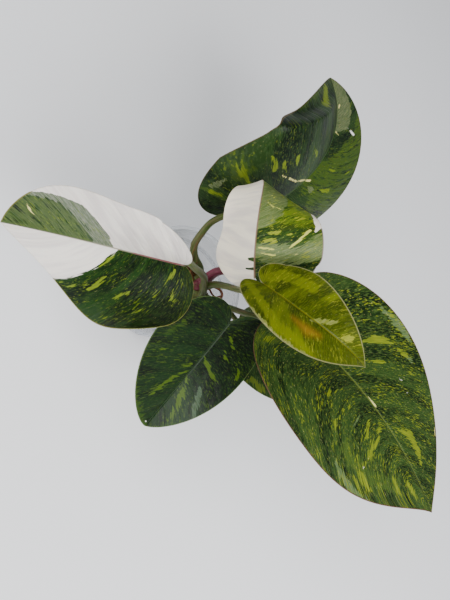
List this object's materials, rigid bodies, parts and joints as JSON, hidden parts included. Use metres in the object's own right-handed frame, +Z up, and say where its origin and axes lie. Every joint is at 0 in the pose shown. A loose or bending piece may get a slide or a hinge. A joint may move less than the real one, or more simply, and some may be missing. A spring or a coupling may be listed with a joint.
{
  "type": "potted white knight philodendron",
  "caption": "House plant with large variegated heart-shaped leaves on long petioles, rooted in potting mix in a clear round nursery pot.",
  "frame": {"origin": "middle of the pot's base, on the surface it stands on", "axes": "+Z up along the pot's axis; +X towards the longest leaf, the right-hand side seen from the front; -Y towards the front"},
  "size_m": [0.3767, 0.316, 0.2463],
  "materials": {
    "pot": "clear, slightly cloudy",
    "potting_mix": "rough, moist bark and fibre",
    "stem": "satin, dark maroon",
    "petiole": "satin, olive green",
    "petiole_red": "satin, pink to dark red",
    "cataphyll": "dry, yellow green to tan",
    "aerial_root": "matt, brown",
    "leaf_half_white": "satin, half cream white and half deep green with lime flecks",
    "leaf_tall": "satin, deep blue green with lime flecks and patches",
    "leaf_dark": "satin, very dark green with lime patches",
    "leaf_long": "satin, mid green with yellow flecks along the veins",
    "leaf_folded": "satin, one half cream white, the other green and grey green with yellow streaks",
    "leaf_lime": "glossy, lime yellow with an orange blush",
    "leaf_low": "satin, light green with flecks"
  },
  "bodies": {
    "root": {"pot": "pot", "potting_mix": "potting_mix", "stem": "stem", "petiole_half_white": "petiole", "petiole_tall": "petiole", "petiole_folded": "petiole_red", "petiole_lime": "petiole", "petiole_long": "petiole", "petiole_dark": "petiole", "petiole_low": "petiole", "leaf_half_white": "leaf_half_white", "leaf_tall": "leaf_tall", "leaf_dark": "leaf_dark", "leaf_long": "leaf_long", "leaf_folded": "leaf_folded", "leaf_lime": "leaf_lime", "leaf_low": "leaf_low", "cataphyll_green": "cataphyll", "cataphyll_dry": "cataphyll", "aerial_root_long": "aerial_root", "aerial_root_curl": "aerial_root", "aerial_root_low": "aerial_root"}
  },
  "joints": []
}
